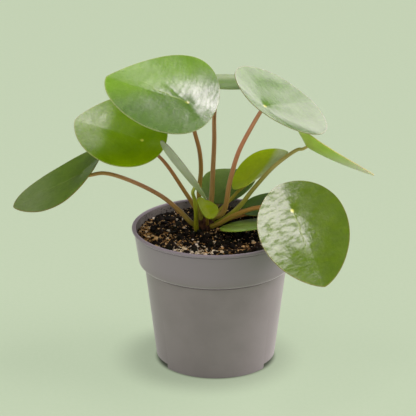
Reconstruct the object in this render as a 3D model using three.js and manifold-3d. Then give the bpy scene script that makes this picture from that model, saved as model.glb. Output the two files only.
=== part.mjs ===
// A pilea, or Chinese money plant, growing in a thin moulded nursery pot.
// Millimetres. +Z is up and +Y points away from the viewer.
// The origin is the centre of the flat underside of the pot.

import * as THREE from 'three'
import { mergeVertices } from 'three/addons/utils/BufferGeometryUtils.js'
import Module from 'manifold-3d'

const wasm = await Module()
wasm.setup()
const radians = THREE.MathUtils.degToRad

// Pot: a tapered body, a rounded ledge, a steeper collar and a small rolled lip.
const FOOT_RADIUS = 42.4
const SHOULDER_RADIUS = 51
const SHOULDER_HEIGHT = 72.5
const LEDGE_WIDTH = 4.3
const LEDGE_HEIGHT = 4
const COLLAR_TOP_RADIUS = 58.5
const LIP_RADIUS = 60
const LIP_HEIGHT = 2.2
const POT_HEIGHT = 100.6
const POT_WALL = 1.3
const POT_FLOOR = 1.6
const FOOT_CHAMFER = 0.9
const POT_SIDES = 56
const LEDGE_STEPS = 3

// Drain steps: two raised sectors in the underside, at left and right, with holes in their roofs.
const STEP_RISE = 3.8
const STEP_HALF_ANGLE = 36
const STEP_INNER_RADIUS = 30
const DRAIN_RADIUS = 4
const DRAIN_CENTRE_RADIUS = 35.6
const DRAIN_HALF_ANGLE = 18

// Soil: packed against the pot, crumbly on top and heaped a little round the stem.
const SOIL_LEVEL = 94.2
const SOIL_HEAP = 1.6
const SOIL_HEAP_RADIUS = 26
const CLOD_HEIGHT = 0.7
const SOIL_GRID = 4.4

// Main stem: short, thick and woody, standing in the soil.
const STEM_AXIS = [-7, 10]
const STEM_RADIUS = 6.4
const STEM_TOP_RADIUS = 5
const STEM_FOOT = 78
const STEM_TOP = 113
const STEM_SIDES = 20

// Blades: round shields, held inside their margin, a quarter of the way from base to tip.
const SEAT = 0.25
const BASE_FULLNESS = 0.5
const TIP_FULLNESS = 0.7
const MIDRIB_FOLD = 2
const DISH_ROUNDING = 5
const DIMPLE_DEPTH = 0.8
const DIMPLE_RADIUS = 3.5
const BLADE_THICKNESS = 1
const MARGIN_THICKNESS = 0.6
const SPOKES = 28
const RINGS = [0.12, 0.4, 0.7, 1]

// Stalks: round and tapering, with their feet sunk in the main stem.
const STALK_SIDES = 8
const STALK_STEP = 8
const STALK_TAPER = 0.7
const STALK_BEND = 4
const GAP = 0.3

// Every leaf: where its stalk holds it, and how it lies.
// towards: compass turn of its tip from +X, in degrees. slope: how far the tip points down.
// roll: how far its left half is lifted. dish: how far it opens upwards all round, as a funnel does.
// left and right: how far each half bends up to its margin. curl: how far the tip bends down.
// twist: how far the blade turns along its length.
// route: the stalk's way from its foot in the stem. thick: the stalk's diameter at foot and top.
const LEAVES = [
  {
    at: [-19, -25, 201], towards: 164, slope: -10, roll: -26, length: 83, width: 78,
    dish: 2, left: 6, right: 6, curl: 2, twist: 9,
    route: [[-10, 7, 103], [-12, 4, 123], [-10.5, -2, 143], [-11.5, -9, 160], [-15, -16, 177]],
    thick: [3.8, 2.6],
  },
  {
    at: [-51.5, 0, 165], towards: 167, slope: -10, roll: -29, length: 68, width: 65,
    dish: 7, left: 5, right: 9, curl: 9, twist: 0,
    route: [[-10, 11, 100], [-15, 10, 111], [-23, 8, 125], [-34, 4, 144], [-40, 2, 152]],
    thick: [3.6, 2.1],
  },
  {
    at: [1, 42, 194], towards: 4, slope: 2, roll: -8, length: 61, width: 55,
    dish: 3, left: 2, right: -8, curl: 1, twist: -3,
    route: [[-5, 13, 106], [-3, 15, 116], [-2, 20, 135], [-1, 28, 155], [-1, 34, 172]],
    thick: [4.4, 2.5],
  },
  {
    at: [33, -18, 195], towards: 55, slope: 16, roll: 31, length: 80, width: 76,
    dish: 12, left: -7, right: 1, curl: 10, twist: 2,
    route: [[-3, 9, 103], [5, 6, 108], [10, 0, 134], [16, -6, 158], [26, -13, 181]],
    thick: [4.2, 2.6],
  },
  {
    at: [-96, 0, 140.5], towards: 180, slope: 37, roll: -5, length: 70, width: 64,
    dish: 5, left: -9, right: -12, curl: -11, twist: -10,
    route: [[-12, 11, 95], [-18, 9, 100], [-25, 8, 108], [-39, 6, 121], [-64, 3, 135], [-80, 1, 140]],
    thick: [4.2, 2.4],
  },
  {
    at: [66, 12, 157], towards: 0, slope: 43, roll: -8, length: 70, width: 52,
    dish: 19, left: -15, right: -1, curl: 2, twist: -3,
    route: [[-2, 9, 97], [6, 10, 101.5], [17, 7, 112.6], [26.5, 3, 127], [42, 0, 146.1], [58, 7, 155.5]],
    thick: [4.6, 2],
  },
  {
    at: [22, 18, 129.8], towards: 15, slope: -41, roll: -6, length: 50, width: 41,
    dish: 2, left: 19, right: 11, curl: 24, twist: 3,
    route: [[-5, 12, 94], [-1, 13, 102], [4.5, 15, 108.5], [10, 16, 113.8], [17, 17, 121.5]],
    thick: [3.2, 2],
  },
  {
    at: [52.5, -50, 131], towards: -46, slope: 52, roll: 9, length: 78, width: 72,
    dish: 3, left: 7, right: -2, curl: 11, twist: 2,
    route: [[-3, 5, 98], [3, 1, 102], [14, -10, 112.5], [28, -25, 123.2], [41, -38.5, 128.5]],
    thick: [3.8, 2.7],
  },
  {
    at: [5, 38, 113], towards: 62, slope: -24, roll: -1, length: 47, width: 39,
    dish: -5, left: 33, right: 13, curl: 21, twist: 2,
    route: [[-6, 15, 98], [-3, 22, 101], [3, 33, 107]],
    thick: [3.2, 2.2],
  },
  {
    at: [17, 0, 101], towards: -33, slope: -13, roll: -3, length: 51, width: 41,
    dish: 1, left: -5, right: -2, curl: -2, twist: 3,
    route: [[-4, 5, 92], [4, 3, 95.5], [11, 1.5, 97]],
    thick: [2.8, 2],
  },
  {
    at: [32, 15, 109], towards: 29, slope: -14, roll: -8, length: 49, width: 42,
    dish: -3, left: 12, right: -1, curl: 13, twist: -1,
    route: [[-2, 13, 91], [3, 14, 96], [9, 15, 99.5], [24, 16, 103.5]],
    thick: [3, 2],
  },
  {
    at: [-14, -22, 138], towards: 181, slope: -54, roll: 2, length: 56, width: 38,
    dish: 3, left: 9, right: -9, curl: 6, twist: -7,
    route: [[-10, 8, 86], [-13.5, 4, 95], [-14, -1, 104], [-14, -8, 114], [-15, -15, 126]],
    thick: [3.6, 2],
  },
  {
    at: [-4, -6, 112.5], towards: 154, slope: -46, roll: -2, length: 18, width: 19,
    dish: 0, left: 10, right: 3, curl: 4, twist: 3,
    route: [[-6, 5, 100], [-6, 0, 105]],
    thick: [2.4, 1.8],
  },
]

const LOOKS = {
  pot: { color: '#77726c', roughness: 0.6, metalness: 0 },
  soil: { color: '#2c211a', roughness: 0.95, metalness: 0 },
  stem: { color: '#5a4630', roughness: 0.8, metalness: 0 },
  stalk: { color: '#8f6a42', roughness: 0.5, metalness: 0 },
  blade: { color: '#4f7a28', roughness: 0.35, metalness: 0 },
}

// A closed mesh as a solid that can be joined and cut.
function solidOf(geometry) {
  const bare = geometry.clone()
  bare.deleteAttribute('normal')
  bare.deleteAttribute('uv')
  const merged = mergeVertices(bare)
  return new wasm.Manifold(new wasm.Mesh({
    numProp: 3,
    vertProperties: new Float32Array(merged.attributes.position.array),
    triVerts: new Uint32Array(merged.index.array),
  }))
}

// The largest piece of a solid, as a mesh geometry.
function geometryOf(solid) {
  const pieces = solid.decompose()
  pieces.sort((a, b) => b.volume() - a.volume())
  const mesh = pieces[0].getMesh()
  return meshGeometry(Array.from(mesh.vertProperties), Array.from(mesh.triVerts))
}

function meshGeometry(positions, triangles) {
  const geometry = new THREE.BufferGeometry()
  geometry.setAttribute('position', new THREE.Float32BufferAttribute(positions, 3))
  geometry.setIndex(triangles)
  geometry.computeVertexNormals()
  return geometry
}

function named(name, geometry, look) {
  const mesh = new THREE.Mesh(geometry, new THREE.MeshStandardMaterial(look))
  mesh.name = name
  return mesh
}

// A turned solid round the Z axis from a profile of radius and height.
function turned(profile, sides) {
  const points = profile.map(([radius, height]) => new THREE.Vector2(radius, height))
  const geometry = new THREE.LatheGeometry(points, sides)
  geometry.rotateX(Math.PI / 2)
  return solidOf(geometry)
}

// The quarter-round ledge between the body and the collar, moved in by one offset and up by another.
function ledge(inward, upward) {
  const points = []
  for (let step = 0; step <= LEDGE_STEPS; step += 1) {
    const turn = (step / LEDGE_STEPS) * (Math.PI / 2)
    const radius = SHOULDER_RADIUS + LEDGE_WIDTH * Math.sin(turn) - inward
    const height = SHOULDER_HEIGHT + LEDGE_HEIGHT * (1 - Math.cos(turn)) + upward
    points.push([radius, height])
  }
  return points
}

// A block over one drain step, grown by a margin on its inner side and its two ends.
function drainSector(middle, margin, outerRadius, bottom, top) {
  const innerRadius = STEP_INNER_RADIUS - margin
  const reach = radians(STEP_HALF_ANGLE) + margin / innerRadius
  const shape = new THREE.Shape()
  shape.absarc(0, 0, outerRadius, middle - reach, middle + reach, false)
  shape.absarc(0, 0, innerRadius, middle + reach, middle - reach, true)
  const depth = top - bottom
  const geometry = new THREE.ExtrudeGeometry(shape, { depth, bevelEnabled: false, curveSegments: 10 })
  geometry.translate(0, 0, bottom)
  return solidOf(geometry)
}

function upright(radius, sides, x, y, bottom, top) {
  const geometry = new THREE.CylinderGeometry(radius, radius, top - bottom, sides)
  geometry.rotateX(Math.PI / 2)
  geometry.translate(x, y, (top + bottom) / 2)
  return solidOf(geometry)
}

function potSolid() {
  const lipFoot = POT_HEIGHT - LIP_HEIGHT
  const insideTop = COLLAR_TOP_RADIUS - POT_WALL
  let pot = turned([
    [0, 0],
    [FOOT_RADIUS - FOOT_CHAMFER, 0],
    [FOOT_RADIUS, FOOT_CHAMFER],
    ...ledge(0, 0),
    [COLLAR_TOP_RADIUS, lipFoot],
    [LIP_RADIUS - 0.3, lipFoot + 0.2],
    [LIP_RADIUS, lipFoot + 1],
    [LIP_RADIUS - 0.4, POT_HEIGHT - 0.3],
    [COLLAR_TOP_RADIUS + 0.3, POT_HEIGHT],
    [insideTop + 0.4, POT_HEIGHT - 0.2],
    [insideTop, POT_HEIGHT - 1],
    ...ledge(POT_WALL, 0.5).reverse(),
    [FOOT_RADIUS - POT_WALL, POT_FLOOR],
    [0, POT_FLOOR],
  ], POT_SIDES)
  for (const middle of [0, Math.PI]) {
    const roof = STEP_RISE + POT_FLOOR
    pot = pot.add(drainSector(middle, POT_FLOOR, FOOT_RADIUS - POT_WALL / 2, 0, roof))
    pot = pot.subtract(drainSector(middle, 0, FOOT_RADIUS + 5, -1, STEP_RISE))
    for (const side of [-1, 1]) {
      const turn = middle + side * radians(DRAIN_HALF_ANGLE)
      const x = DRAIN_CENTRE_RADIUS * Math.cos(turn)
      const y = DRAIN_CENTRE_RADIUS * Math.sin(turn)
      pot = pot.subtract(upright(DRAIN_RADIUS, 16, x, y, STEP_RISE - 1, roof + 1))
    }
  }
  return pot
}

// Height of the soil: a low heap round the stem, with clods.
function soilHeight(x, y) {
  const away = Math.hypot(x - STEM_AXIS[0], y - STEM_AXIS[1]) / SOIL_HEAP_RADIUS
  const heap = SOIL_HEAP * Math.exp(-away * away)
  const clods = Math.sin(0.9 * x + 0.4 * y) * Math.cos(0.7 * y - 0.3 * x)
    + Math.sin(0.35 * x - 0.8 * y + 1) * Math.sin(0.55 * x + 0.2 * y)
  return SOIL_LEVEL + heap + CLOD_HEIGHT * clods
}

// A square block whose top follows the height of the soil.
function soilBlock() {
  const cells = 2 * Math.ceil(COLLAR_TOP_RADIUS / SOIL_GRID)
  const size = cells * SOIL_GRID
  const geometry = new THREE.BoxGeometry(size, size, SOIL_LEVEL, cells, cells, 1)
  geometry.translate(0, 0, SOIL_LEVEL / 2)
  const place = geometry.attributes.position
  for (let i = 0; i < place.count; i += 1) {
    if (place.getZ(i) > SOIL_LEVEL / 2) {
      place.setZ(i, soilHeight(place.getX(i), place.getY(i)))
    }
  }
  return solidOf(geometry)
}

function soilSolid(stemHole, stalkHoles) {
  const filling = turned([
    [0, POT_FLOOR + GAP],
    [FOOT_RADIUS - POT_WALL - GAP, POT_FLOOR + GAP],
    ...ledge(POT_WALL + GAP, 0.5 + GAP),
    [COLLAR_TOP_RADIUS - POT_WALL - GAP, POT_HEIGHT - 1],
    [0, POT_HEIGHT - 1],
  ], POT_SIDES)
  let soil = filling.intersect(soilBlock())
  for (const middle of [0, Math.PI]) {
    const roof = STEP_RISE + POT_FLOOR + GAP
    soil = soil.subtract(drainSector(middle, POT_FLOOR + GAP, FOOT_RADIUS + 5, 0, roof))
  }
  soil = soil.subtract(stemHole)
  for (const hole of stalkHoles) {
    soil = soil.subtract(hole)
  }
  return soil
}

// The main stem, or the plain hole that it stands in when it is grown by the gap.
function stemSolid(grow) {
  const shoulder = STEM_TOP - STEM_TOP_RADIUS / 2
  const stem = turned([
    [0, STEM_FOOT - grow],
    [STEM_RADIUS + grow, STEM_FOOT - grow],
    [STEM_RADIUS + grow, SOIL_LEVEL],
    [STEM_TOP_RADIUS + grow, shoulder],
    [STEM_TOP_RADIUS * 0.8 + grow, shoulder + STEM_TOP_RADIUS * 0.3],
    [0, STEM_TOP + grow],
  ], STEM_SIDES)
  return stem.translate(STEM_AXIS[0], STEM_AXIS[1], 0)
}

// Half the blade's width at a place along it, from 0 at its base to 1 at its tip.
function halfWidth(leaf, along) {
  const widest = BASE_FULLNESS / (BASE_FULLNESS + TIP_FULLNESS)
  const full = widest ** BASE_FULLNESS * (1 - widest) ** TIP_FULLNESS
  const here = along ** BASE_FULLNESS * (1 - along) ** TIP_FULLNESS
  return (leaf.width / 2) * (here / full)
}

// A strip of one length that starts at an angle and turns up evenly: how far out and how high it is.
function bend(distance, length, start, turn) {
  if (Math.abs(turn) < 0.001) {
    return [distance * Math.cos(start), distance * Math.sin(start)]
  }
  const radius = length / turn
  const angle = start + turn * (distance / length)
  return [radius * (Math.sin(angle) - Math.sin(start)), radius * (Math.cos(start) - Math.cos(angle))]
}

// Carries a point of the flat blade, u mm towards the tip and v mm to the left, onto the bent blade.
function bladePoint(leaf, u, v) {
  const lift = radians(v > 0 ? leaf.left : leaf.right)
  const [out, rise] = bend(Math.abs(v), leaf.width / 2, radians(MIDRIB_FOLD), lift)
  const span = leaf.length * (1 - SEAT)
  const curl = u > 0 ? radians(-leaf.curl) : 0
  const [along, drop] = bend(Math.abs(u), span, 0, curl)
  const lean = curl * (u / span)
  const twist = radians(leaf.twist) * (u / leaf.length)
  const x = Math.sign(u) * along - rise * Math.sin(lean)
  const y = Math.sign(v) * out
  const away = Math.hypot(x, y)
  const funnel = Math.tan(radians(leaf.dish)) * (Math.hypot(away, DISH_ROUNDING) - DISH_ROUNDING)
  const dimple = DIMPLE_DEPTH * Math.exp(-((away / DIMPLE_RADIUS) ** 2))
  const z = drop + rise * Math.cos(lean) + funnel - dimple
  const cosTwist = Math.cos(twist)
  const sinTwist = Math.sin(twist)
  return new THREE.Vector3(x, y * cosTwist - z * sinTwist, y * sinTwist + z * cosTwist)
}

function bladeNormal(leaf, u, v) {
  const near = 0.5
  const lengthwise = bladePoint(leaf, u + near, v).sub(bladePoint(leaf, u - near, v))
  const crosswise = bladePoint(leaf, u, v + near).sub(bladePoint(leaf, u, v - near))
  return lengthwise.cross(crosswise).normalize()
}

// The blade, on spokes from where the stalk holds it. Both faces are split into triangles alike.
function bladeGeometry(leaf) {
  const upper = []
  const lower = []
  const addPoint = (u, v, thickness) => {
    const point = bladePoint(leaf, u, v)
    upper.push(...point)
    lower.push(...point.addScaledVector(bladeNormal(leaf, u, v), -thickness))
  }
  addPoint(0, 0, BLADE_THICKNESS)
  for (const ring of RINGS) {
    for (let spoke = 0; spoke < SPOKES; spoke += 1) {
      const turn = (2 * Math.PI * spoke) / SPOKES
      const along = (1 + Math.cos(turn)) / 2
      const u = ring * leaf.length * (along - SEAT)
      const v = ring * Math.sign(Math.sin(turn)) * halfWidth(leaf, along)
      const thinning = ring * ring * (BLADE_THICKNESS - MARGIN_THICKNESS)
      addPoint(u, v, BLADE_THICKNESS - thinning)
    }
  }
  const below = upper.length / 3
  const triangles = []
  const addBoth = (a, b, c) => {
    triangles.push(a, b, c)
    triangles.push(below + a, below + c, below + b)
  }
  for (let spoke = 0; spoke < SPOKES; spoke += 1) {
    const next = (spoke + 1) % SPOKES
    addBoth(0, 1 + spoke, 1 + next)
    for (let ring = 1; ring < RINGS.length; ring += 1) {
      const inner = 1 + (ring - 1) * SPOKES
      const outer = inner + SPOKES
      addBoth(inner + spoke, outer + spoke, outer + next)
      addBoth(inner + spoke, outer + next, inner + next)
    }
    const margin = 1 + (RINGS.length - 1) * SPOKES
    triangles.push(margin + spoke, below + margin + spoke, below + margin + next)
    triangles.push(margin + spoke, below + margin + next, margin + next)
  }
  return meshGeometry([...upper, ...lower], triangles)
}

function leafPlace(leaf) {
  const turn = new THREE.Euler(radians(leaf.roll), radians(leaf.slope), radians(leaf.towards), 'ZYX')
  return new THREE.Matrix4().makeRotationFromEuler(turn).setPosition(...leaf.at)
}

// The leaf stalk, or the socket that it sits in when it is grown by the gap.
// It ends just under the blade, cut square to the blade's own underside.
function stalkGeometry(leaf, grow) {
  const place = leafPlace(leaf)
  const up = new THREE.Vector3(0, 0, 1).transformDirection(place)
  const seat = new THREE.Vector3(...leaf.at).addScaledVector(up, -(DIMPLE_DEPTH + BLADE_THICKNESS + GAP))
  const stops = leaf.route.map((stop) => new THREE.Vector3(...stop))
  const heading = seat.clone().sub(stops[stops.length - 1]).normalize().add(up).normalize()
  const approach = seat.clone().addScaledVector(heading, -STALK_BEND)
  const curve = new THREE.CatmullRomCurve3([...stops, approach, seat])
  const steps = Math.ceil(curve.getLength() / STALK_STEP) + 1
  const frames = curve.computeFrenetFrames(steps, false)
  const positions = []
  for (let step = 0; step <= steps; step += 1) {
    const part = step / steps
    const centre = curve.getPointAt(part)
    const tangent = frames.tangents[step]
    if (step === 0) {
      centre.addScaledVector(tangent, -grow)
    }
    const radius = THREE.MathUtils.lerp(leaf.thick[0], leaf.thick[1], part ** STALK_TAPER) / 2 + grow
    for (let side = 0; side < STALK_SIDES; side += 1) {
      const turn = (2 * Math.PI * side) / STALK_SIDES
      const spoke = frames.normals[step].clone().multiplyScalar(radius * Math.cos(turn))
      spoke.addScaledVector(frames.binormals[step], radius * Math.sin(turn))
      if (step === steps) {
        spoke.addScaledVector(tangent, -spoke.dot(up) / tangent.dot(up))
      }
      positions.push(...spoke.add(centre))
    }
  }
  const triangles = []
  for (let side = 0; side < STALK_SIDES; side += 1) {
    const next = (side + 1) % STALK_SIDES
    for (let step = 0; step < steps; step += 1) {
      const low = step * STALK_SIDES
      const high = low + STALK_SIDES
      triangles.push(low + side, low + next, high + next)
      triangles.push(low + side, high + next, high + side)
    }
    if (side > 0 && next > 0) {
      const top = steps * STALK_SIDES
      triangles.push(0, next, side)
      triangles.push(top, top + side, top + next)
    }
  }
  return meshGeometry(positions, triangles)
}

const sockets = LEAVES.map((leaf) => solidOf(stalkGeometry(leaf, GAP)))
let stem = stemSolid(0)
for (const socket of sockets) {
  stem = stem.subtract(socket)
}

const plant = new THREE.Group()
plant.add(named('pot', geometryOf(potSolid()), LOOKS.pot))
plant.add(named('soil', geometryOf(soilSolid(stemSolid(GAP), sockets)), LOOKS.soil))
plant.add(named('main_stem', geometryOf(stem), LOOKS.stem))
LEAVES.forEach((leaf, index) => {
  const number = String(index + 1).padStart(2, '0')
  plant.add(named(`petiole_${number}`, stalkGeometry(leaf, 0), LOOKS.stalk))
  const blade = named(`leaf_blade_${number}`, bladeGeometry(leaf), LOOKS.blade)
  blade.applyMatrix4(leafPlace(leaf))
  plant.add(blade)
})

export default plant
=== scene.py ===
"""A potted pilea: round, shield-shaped leaves on slender stalks, growing from bark-rich soil in a thin
grey nursery pot. Every shape is worked out in millimetres and made metres when its piece is finished."""

import math
import random
from collections import namedtuple

import bmesh
import bpy
from mathutils import Euler, Matrix, Vector, noise


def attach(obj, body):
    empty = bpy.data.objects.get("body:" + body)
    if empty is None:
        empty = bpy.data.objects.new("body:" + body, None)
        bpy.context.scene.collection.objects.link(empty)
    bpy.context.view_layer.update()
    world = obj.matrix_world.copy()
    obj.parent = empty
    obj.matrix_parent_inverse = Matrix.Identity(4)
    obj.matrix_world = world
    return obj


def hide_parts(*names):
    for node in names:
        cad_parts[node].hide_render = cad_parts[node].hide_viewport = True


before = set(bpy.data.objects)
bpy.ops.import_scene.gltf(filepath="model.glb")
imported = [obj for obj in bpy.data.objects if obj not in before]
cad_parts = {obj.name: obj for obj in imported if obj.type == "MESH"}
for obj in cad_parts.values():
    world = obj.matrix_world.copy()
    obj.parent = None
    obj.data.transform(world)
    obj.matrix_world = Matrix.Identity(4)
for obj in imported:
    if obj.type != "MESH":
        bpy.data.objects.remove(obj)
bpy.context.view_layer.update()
MM = 0.001

# The camera, in millimetres and degrees. It looks down on the middle of the plant, as the photo does.
CAMERA_DISTANCE = 1700
CAMERA_ELEVATION = 20.15
CAMERA_AIM = (-5.5, 0, 114)
CAMERA_LENS = 206.39
CAMERA_SENSOR = 36
CAMERA_NEAREST = 50

# The pot, a thin tapered shell with a rounded ledge under its collar and a rolled lip.
FOOT_RADIUS = 42.4
FOOT_CHAMFER = 0.9
SHOULDER_RADIUS = 51
SHOULDER_HEIGHT = 72.5
LEDGE_WIDTH = 4.3
LEDGE_HEIGHT = 4
LEDGE_STEPS = 8
COLLAR_TOP_RADIUS = 58.5
LIP_RADIUS = 60
LIP_HEIGHT = 2.2
POT_HEIGHT = 100.6
POT_WALL = 1.3
POT_FLOOR = 1.6
POT_TURNS = 160
STEP_RISE = 3.8
STEP_HALF_ANGLE = 36
STEP_INNER_RADIUS = 30
DRAIN_RADIUS = 4
DRAIN_CENTRE_RADIUS = 35.6
DRAIN_HALF_ANGLE = 18
DRAIN_SIDES = 32
SECTOR_STEPS = 24

# The soil, a low heap round the stem, with clods, crumbs and loose bits.
SOIL_LEVEL = 94.2
SOIL_HEAP = 1.6
SOIL_HEAP_RADIUS = 26
CLOD_HEIGHT = 0.7
SOIL_GAP = 0.3
SOIL_RINGS = 90
SOIL_TURNS = 280
CLUMP_SIZE = 4.5
CLUMP_RISE = 1.1
CRUMB_SIZE = 1.6
CRUMB_RISE = 0.55
LOOSE_REACH = 56.2
BIT_UNEVENNESS = 0.18

# The main stem.
STEM_AXIS = (-7, 10)
STEM_RADIUS = 6.4
STEM_TOP_RADIUS = 5
STEM_FOOT = 78
STEM_TOP = 113
STEM_RINGS = 26
STEM_SIDES = 48

# The leaf blades.
SEAT = 0.25
MIDRIB_FOLD = 2
DISH_ROUNDING = 5
DIMPLE_DEPTH = 0.5
DIMPLE_RADIUS = 3.5
BLADE_THICKNESS = 1
MARGIN_THICKNESS = 0.6
QUILT_RISE = 0.03
WAVE_RISE = 0.1
WAVE_SIZE = 16
MARGIN_SHARE = 0.45
SEAT_TONE = "#E2E060"
SPOKES = 132
RINGS = [0.02, 0.05, 0.09] + [0.14 + 0.052 * step for step in range(16)] + [0.955, 0.98, 1]
VEINS = 11
# A blade's flat map holds this many millimetres, with the seat in its middle.
FLAT_SPAN = 100
# The reach over which the slope of a blade is measured.
SLOPE_REACH = 0.5

# The leaf stalks.
STALK_SIDES = 16
STALK_STEP = 2.5
STALK_TAPER = 0.7
STALK_BEND = 4
STALK_SWELLING = 0.12
STALK_SINK = 0.2
# The streaks of a stalk: how many of their units lie across its radius, and one unit's length along it.
STREAKS_ROUND = 3
STREAK_LENGTH = 14

# A leaf: where its stalk meets it; the way its tip points, how far the tip hangs and how far the blade leans;
# its length and width; how far it is dished, its left and right halves bend up, its tip bends down and it is
# twisted; how pointed its base and its tip are, left and right each; its stalk's route and its thickness at
# foot and head; and the tones of its skin, of its margin and along its stalk. Turns are in degrees.
# The turns and sizes were searched for until each leaf filled its outline in the photo, and then rounded.
Leaf = namedtuple("Leaf", "seat towards slope roll length width dish left right curl twist pointed route"
                          " thick skin edge bark")
LEAVES = [
    Leaf((-19, -25, 201), 163, -10, -26, 81.5, 76.5, 2, 6, 12, -2, 9, (0.39, 0.54, 0.59, 0.84),
         [(-10, 7, 103), (-12, 4, 123), (-10.5, -2, 143), (-11.5, -9, 160), (-15, -16, 177)], (3.8, 2.6),
         "#56782E", "#B4B088", ("#8A8A2C", "#B07C48", "#B07C4C")),
    Leaf((-51.5, 0, 165), 168, -10, -29, 67, 67.5, 7, 5, 7, 3, 0, (0.5, 0.54, 0.64, 0.8),
         [(-10, 11, 100), (-15, 10, 111), (-23, 8, 125), (-34, 4, 144), (-40, 2, 152)], (3.6, 2.1),
         "#6C9004", "#B4A67C", ("#908A2E", "#B07A48", "#B07E50")),
    Leaf((1, 42, 194), 4, 2, -8, 61, 55, 3, 2, -8, 1, -3, (0.5, 0.5, 0.7, 0.7),
         [(-5, 13, 106), (-3, 15, 116), (-2, 20, 135), (-1, 28, 155), (-1, 34, 172)], (4.4, 2.5),
         "#7C9A5C", "#B7B78C", ("#8E8030", "#B48454", "#B08452")),
    Leaf((33, -18, 195), 56, 16, 31, 81, 75, 12, -7, 0, 9, 2, (0.51, 0.5, 0.67, 0.62),
         [(-3, 9, 103), (5, 6, 108), (10, 0, 134), (16, -6, 158), (26, -13, 181)], (4.2, 2.6),
         "#5E8432", "#B9A292", ("#868E24", "#D48E6A", "#D49A74")),
    Leaf((-96, 0, 140.5), 179, 37, -5, 72, 62, 5, -9, -8, -10, -10, (0.6, 0.3, 0.8, 0.56),
         [(-12, 11, 95), (-18, 9, 100), (-25, 8, 108), (-39, 6, 121), (-64, 3, 135), (-80, 1, 140)],
         (4.2, 2.4),
         "#5E7C20", "#8E5236", ("#808C1C", "#B8865A", "#CCA452")),
    Leaf((66, 12, 157), 7, 49, -9, 65, 54.5, 19, -31, 4, -9, -3, (0.85, 0.52, 0.83, 0.4),
         [(-2, 9, 97), (6, 10, 101.5), (17, 7, 112.6), (26.5, 3, 127), (42, 0, 146.1), (58, 7, 155.5)],
         (4.6, 2),
         "#8FB022", "#D8AE98", ("#94A41A", "#A69E4C", "#DCCB84")),
    Leaf((22, 18, 129.8), 15, -36, -4, 48, 40, 2, 23, 10, 16, 3, (0.54, 0.75, 0.58, 1.16),
         [(-5, 12, 94), (-1, 13, 102), (4.5, 15, 108.5), (10, 16, 113.8), (17, 17, 121.5)], (3.2, 2),
         "#B6CC0C", "#A8B060", ("#98962A", "#A8A038", "#A8A040")),
    Leaf((52.5, -50, 131), -45, 52, 9, 78, 74, 3, 7, 2, 16, 2, (0.47, 0.64, 0.65, 0.82),
         [(-3, 5, 98), (3, 1, 102), (14, -10, 112.5), (28, -25, 123.2), (41, -38.5, 128.5)], (3.8, 2.7),
         "#5E781A", "#A98A6C", ("#807C24", "#A47C3C", "#BC8058")),
    Leaf((5, 38, 113), 66, -22, 0, 51, 38.5, -5, 27, 9, 22, 2, (0.64, 0.52, 0.82, 0.58),
         [(-6, 15, 98), (-3, 22, 101), (3, 33, 107)], (3.2, 2.2),
         "#5A7230", "#7A8A4A", ("#7A7A2E", "#8A7A3C", "#8A7A3C")),
    Leaf((17, 0, 101), -33, -13, -3, 51, 41, 1, -5, -2, -2, 3, (0.5, 0.5, 0.7, 0.7),
         [(-4, 5, 92), (4, 3, 95.5), (11, 1.5, 97)], (2.8, 2),
         "#8AAA48", "#8CA832", ("#7A7A2E", "#8A7A3C", "#8A8A44")),
    Leaf((32, 15, 109), 29, -14, -8, 49, 42, -3, 12, -1, 13, -1, (0.5, 0.5, 0.7, 0.7),
         [(-2, 13, 91), (3, 14, 96), (9, 15, 99.5), (24, 16, 103.5)], (3, 2),
         "#587634", "#8A5A3A", ("#7A6A32", "#A0703E", "#A0703E")),
    Leaf((-14, -22, 138), 203, -56, 2, 55, 32.5, 3, -3, -20, 2, -7, (0.81, 1, 0.45, 0.28),
         [(-10, 8, 86), (-13.5, 4, 95), (-14, -1, 104), (-14, -8, 114), (-15, -15, 126)], (4.4, 2.2),
         "#7A964A", "#9A8A90", ("#9C9A26", "#98A422", "#A6B044")),
    Leaf((-4, -6, 112.5), 135, -48, 13, 18, 20, 0, 10, 14, 3, 3, (0.25, 0.79, 0.33, 1.2),
         [(-6, 5, 100), (-6, 0, 105)], (2.4, 1.8),
         "#8C9E00", "#8A9A30", ("#8A7A2A", "#9A7A30", "#8A8A2A")),
]

# Where the big blades bulge or sink a little. Each bulge is an oval on the flat blade: where its middle lies,
# half its length and half its width, which way it points in degrees, and its height.
Bulge = namedtuple("Bulge", "forward left long wide turn height")
BULGES = {
    # A crease along a main vein, one towards the near margin, and a swelling before the seat.
    1: [Bulge(10, -5, 14, 2.5, -30, -0.3), Bulge(-7, 6, 10, 3, 140, -0.3), Bulge(22, 8, 20, 14, 0, 0.8)],
    # A broad swelling before the seat.
    2: [Bulge(20, 10, 20, 12, 0, 0.8)],
    # A swelling over the seat, a fold along the midrib and a low ridge along the far margin.
    4: [Bulge(5, 2, 24, 18, 0, 1.6), Bulge(40, 2, 20, 4, 17, -0.5), Bulge(34, 24, 22, 8, 0, 0.8)],
    # A swelling beside the midrib and a hollow before the tip.
    8: [Bulge(22, -10, 13, 9, 0, 1), Bulge(45, 0, 12, 10, 0, -0.6)],
}

# Blades whose tone changes from one side to the other: the far tone, the way it lies in degrees from the tip
# towards the left, and how far from the seat the change starts and ends. Every far tone here is painted
# light:
# on 1 a lighter green where more light falls, on 2 a brighter green for light shining through the blade, and
# on 3, 5 and 7 a paler tone that is a painted sheen.
Shade = namedtuple("Shade", "tone lie start end")
SHADES = {
    1: Shade("#70982C", -50, 2, 30),
    2: Shade("#92B400", 135, 0, 28),
    3: Shade("#A9BC98", 90, 5, 20),
    5: Shade("#788E58", 0, 10, 45),
    7: Shade("#CBD6A4", -45, 11, 18),
}

# Undersides that differ from the upper skin: a near tone and a shade. Both are painted light: 6's near tone
# is painted lighter for an underside that lies in shade, and its pale tip is a painted sheen; 12's grey is a
# painted sheen.
UNDERSIDES = {
    6: ("#D0EC4A", Shade("#FFF2EA", 0, 4, 40)),
    12: ("#8A9E68", Shade("#AEB0A8", 0, -8, 20)),
}

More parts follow.
